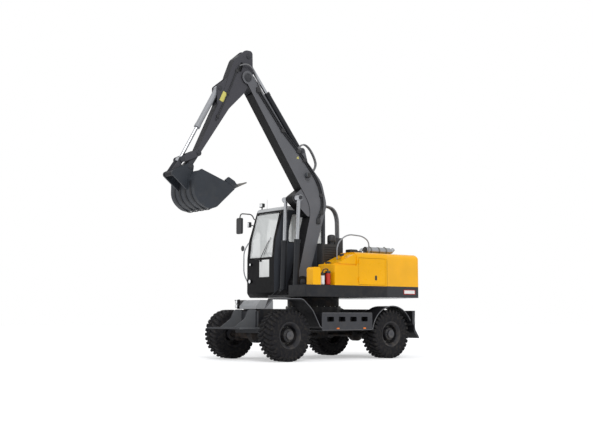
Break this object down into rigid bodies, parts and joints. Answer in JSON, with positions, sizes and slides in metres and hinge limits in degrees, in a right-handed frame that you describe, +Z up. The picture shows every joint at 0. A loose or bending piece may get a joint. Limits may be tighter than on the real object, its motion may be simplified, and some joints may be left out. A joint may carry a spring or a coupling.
{
  "type": "wheeled excavator",
  "caption": "Wheeled excavator with a slewing upper structure, cab, one-piece boom, arm and bucket, and a dozer blade on its two-axle undercarriage.",
  "frame": {"origin": "on the ground, under the slewing axis", "axes": "+X forward, towards the steered axle and the boom; +Y to the machine's left; +Z up"},
  "size_m": [6.194, 2.65, 6.3904],
  "materials": {
    "yellow_paint": "satin",
    "grey_paint": "satin",
    "dark_paint": "satin",
    "step_paint": "satin",
    "light_paint": "satin",
    "bucket_paint": "worn",
    "cast_iron": "rough",
    "chrome": "polished",
    "bright_steel": "brushed",
    "tyre": "matte",
    "glass": "clear",
    "fabric": "woven",
    "plastic": "matte",
    "hose_rubber": "matte"
  },
  "bodies": {
    "chassis": {"chassis_frame": "dark_paint", "slew_ring": "cast_iron", "front_axle": "cast_iron", "rear_axle": "cast_iron", "drive_line": "cast_iron", "side_steps_left": "step_paint", "side_steps_right": "step_paint", "front_box": "light_paint", "front_shelf": "light_paint"},
    "knuckle_left": {"knuckle_left": "cast_iron"},
    "knuckle_right": {"knuckle_right": "cast_iron"},
    "tie_rod": {"tie_rod": "cast_iron"},
    "wheel_front_left": {"tyre_front_left": "tyre", "rim_front_left": "light_paint"},
    "wheel_front_right": {"tyre_front_right": "tyre", "rim_front_right": "light_paint"},
    "wheel_rear_left": {"tyre_rear_left": "tyre", "rim_rear_left": "light_paint"},
    "wheel_rear_right": {"tyre_rear_right": "tyre", "rim_rear_right": "light_paint"},
    "blade": {"blade": "step_paint"},
    "blade_cylinder_barrel": {"blade_cylinder_barrel": "light_paint"},
    "blade_cylinder_rod": {"blade_cylinder_rod": "chrome"},
    "upper": {"deck_frame": "dark_paint", "counterweight": "yellow_paint", "hood": "yellow_paint", "fuel_tank": "yellow_paint", "toolbox": "yellow_paint", "engine": "cast_iron", "cooler": "plastic", "muffler": "bright_steel", "cab_shell": "dark_paint", "cab_glass": "glass", "operator_seat": "fabric", "controls": "plastic", "mirror": "plastic", "handrails": "bright_steel", "hoses": "hose_rubber"},
    "cab_door": {"cab_door": "dark_paint", "door_glass": "glass"},
    "service_door_left": {"service_door_left": "yellow_paint"},
    "service_door_right": {"service_door_right": "yellow_paint"},
    "hood_lid": {"hood_lid": "yellow_paint"},
    "boom": {"boom": "grey_paint"},
    "boom_cylinder_barrel": {"boom_cylinder_barrel": "grey_paint"},
    "boom_cylinder_rod": {"boom_cylinder_rod": "chrome"},
    "arm": {"arm": "grey_paint"},
    "arm_cylinder_barrel": {"arm_cylinder_barrel": "light_paint"},
    "arm_cylinder_rod": {"arm_cylinder_rod": "chrome"},
    "bucket_cylinder_barrel": {"bucket_cylinder_barrel": "light_paint"},
    "bucket_cylinder_rod": {"bucket_cylinder_rod": "chrome"},
    "rocker": {"rocker": "bucket_paint"},
    "bucket_link": {"bucket_link": "bucket_paint"},
    "bucket": {"bucket": "bucket_paint"}
  },
  "joints": [
    {"name": "slew", "type": "hinge", "parent": "chassis", "child": "upper", "pos_m": [0, 0, 0], "axis": [0, 0, 1], "continuous": true},
    {"name": "steer_left", "type": "hinge", "parent": "chassis", "child": "knuckle_left", "pos_m": [1.52, 0.66, 0.52], "axis": [0, 0, 1], "range_deg": [-30, 30]},
    {"name": "steer_right", "type": "hinge", "parent": "chassis", "child": "knuckle_right", "pos_m": [1.52, -0.66, 0.52], "axis": [0, 0, 1], "range_deg": [-31, 31]},
    {"name": "tie_rod_slide", "type": "slide", "parent": "chassis", "child": "tie_rod", "axis": [0, 1, 0], "range_m": [-0.1, 0.1]},
    {"name": "wheel_front_left_spin", "type": "hinge", "parent": "knuckle_left", "child": "wheel_front_left", "pos_m": [1.52, 0.97, 0.52], "axis": [0, 1, 0], "continuous": true},
    {"name": "wheel_front_right_spin", "type": "hinge", "parent": "knuckle_right", "child": "wheel_front_right", "pos_m": [1.52, -0.97, 0.52], "axis": [0, 1, 0], "continuous": true},
    {"name": "wheel_rear_left_spin", "type": "hinge", "parent": "chassis", "child": "wheel_rear_left", "pos_m": [-1.22, 0.97, 0.52], "axis": [0, 1, 0], "continuous": true},
    {"name": "wheel_rear_right_spin", "type": "hinge", "parent": "chassis", "child": "wheel_rear_right", "pos_m": [-1.22, -0.97, 0.52], "axis": [0, 1, 0], "continuous": true},
    {"name": "blade_lift", "type": "hinge", "parent": "chassis", "child": "blade", "pos_m": [-1.42, 0, 0.5], "axis": [0, -1, 0], "range_deg": [-5, 47]},
    {"name": "blade_cylinder_swing", "type": "hinge", "parent": "chassis", "child": "blade_cylinder_barrel", "pos_m": [-1.4, 0, 0.94], "axis": [0, -1, 0], "range_deg": [-2.73, 21.49]},
    {"name": "blade_cylinder_stroke", "type": "slide", "parent": "blade_cylinder_barrel", "child": "blade_cylinder_rod", "axis": [-0.8321, 0, -0.5547], "range_m": [-0.0291, 0.2564]},
    {"name": "cab_door_swing", "type": "hinge", "parent": "upper", "child": "cab_door", "pos_m": [-0.397, -1.205, 2.28], "axis": [0, 0, -1], "range_deg": [0, 165]},
    {"name": "service_door_left_swing", "type": "hinge", "parent": "upper", "child": "service_door_left", "pos_m": [-0.293, 1.184, 1.85], "axis": [0, 0, -1], "range_deg": [0, 100]},
    {"name": "service_door_right_swing", "type": "hinge", "parent": "upper", "child": "service_door_right", "pos_m": [-0.613, -1.184, 1.85], "axis": [0, 0, -1], "range_deg": [-100, 0]},
    {"name": "hood_lid_lift", "type": "hinge", "parent": "upper", "child": "hood_lid", "pos_m": [-0.623, 0, 2.264], "axis": [0, 1, 0], "range_deg": [0, 60]},
    {"name": "boom_lift", "type": "hinge", "parent": "upper", "child": "boom", "pos_m": [0.635, 0.26, 1.611], "axis": [0, -1, 0], "range_deg": [-90, 0]},
    {"name": "boom_cylinder_swing", "type": "hinge", "parent": "upper", "child": "boom_cylinder_barrel", "pos_m": [0.86, 0.26, 1.422], "axis": [0, -1, 0], "range_deg": [-89.07, 0.5]},
    {"name": "boom_cylinder_stroke", "type": "slide", "parent": "boom_cylinder_barrel", "child": "boom_cylinder_rod", "axis": [-0.0432, 0, 0.9991], "range_m": [-0.4145, 0.002]},
    {"name": "arm_swing", "type": "hinge", "parent": "boom", "child": "arm", "pos_m": [2.038, 0.26, 5.81], "axis": [0, 1, 0], "range_deg": [-100, 12]},
    {"name": "arm_cylinder_swing", "type": "hinge", "parent": "boom", "child": "arm_cylinder_barrel", "pos_m": [0.576, 0.26, 4.427], "axis": [0, 1, 0], "range_deg": [-3.41, 0.85]},
    {"name": "arm_cylinder_stroke", "type": "slide", "parent": "arm_cylinder_barrel", "child": "arm_cylinder_rod", "axis": [0.6148, 0, 0.7887], "range_m": [-0.6863, 0.0841]},
    {"name": "bucket_curl", "type": "hinge", "parent": "arm", "child": "bucket", "pos_m": [3.421, 0.26, 3.814], "axis": [0, 1, 0], "range_deg": [-120, 12]},
    {"name": "rocker_swing", "type": "hinge", "parent": "arm", "child": "rocker", "pos_m": [3.213, 0.26, 4.111], "axis": [0, 1, 0], "range_deg": [-120.5, 12.5]},
    {"name": "link_swing", "type": "hinge", "parent": "rocker", "child": "bucket_link", "pos_m": [3.568, 0.26, 3.953], "axis": [0, 1, 0], "range_deg": [-12.5, 120.5]},
    {"name": "bucket_cylinder_swing", "type": "hinge", "parent": "arm", "child": "bucket_cylinder_barrel", "pos_m": [2.7, 0.26, 5.5], "axis": [0, 1, 0], "range_deg": [-2.96, 0.75]},
    {"name": "bucket_cylinder_stroke", "type": "slide", "parent": "bucket_cylinder_barrel", "child": "bucket_cylinder_rod", "axis": [0.4893, 0, -0.8721], "range_m": [-0.6879, 0.0706]}
  ],
  "couplings": [
    {"joint": "steer_right", "follows": "steer_left", "ratio": 1},
    {"joint": "tie_rod_slide", "follows": "steer_left", "m_per_rad": -0.1814},
    {"joint": "blade_cylinder_swing", "follows": "blade_lift", "ratio": 0.44651},
    {"joint": "blade_cylinder_stroke", "follows": "blade_lift", "m_per_rad": 0.3101},
    {"joint": "boom_cylinder_swing", "follows": "boom_lift", "ratio": 0.98414},
    {"joint": "boom_cylinder_stroke", "follows": "boom_lift", "m_per_rad": 0.2626},
    {"joint": "arm_cylinder_swing", "follows": "arm_swing", "ratio": 0.02909},
    {"joint": "arm_cylinder_stroke", "follows": "arm_swing", "m_per_rad": 0.3921},
    {"joint": "rocker_swing", "follows": "bucket_curl", "ratio": 1},
    {"joint": "link_swing", "follows": "bucket_curl", "ratio": -1},
    {"joint": "bucket_cylinder_swing", "follows": "bucket_curl", "ratio": 0.02046},
    {"joint": "bucket_cylinder_stroke", "follows": "bucket_curl", "m_per_rad": 0.3275}
  ]
}
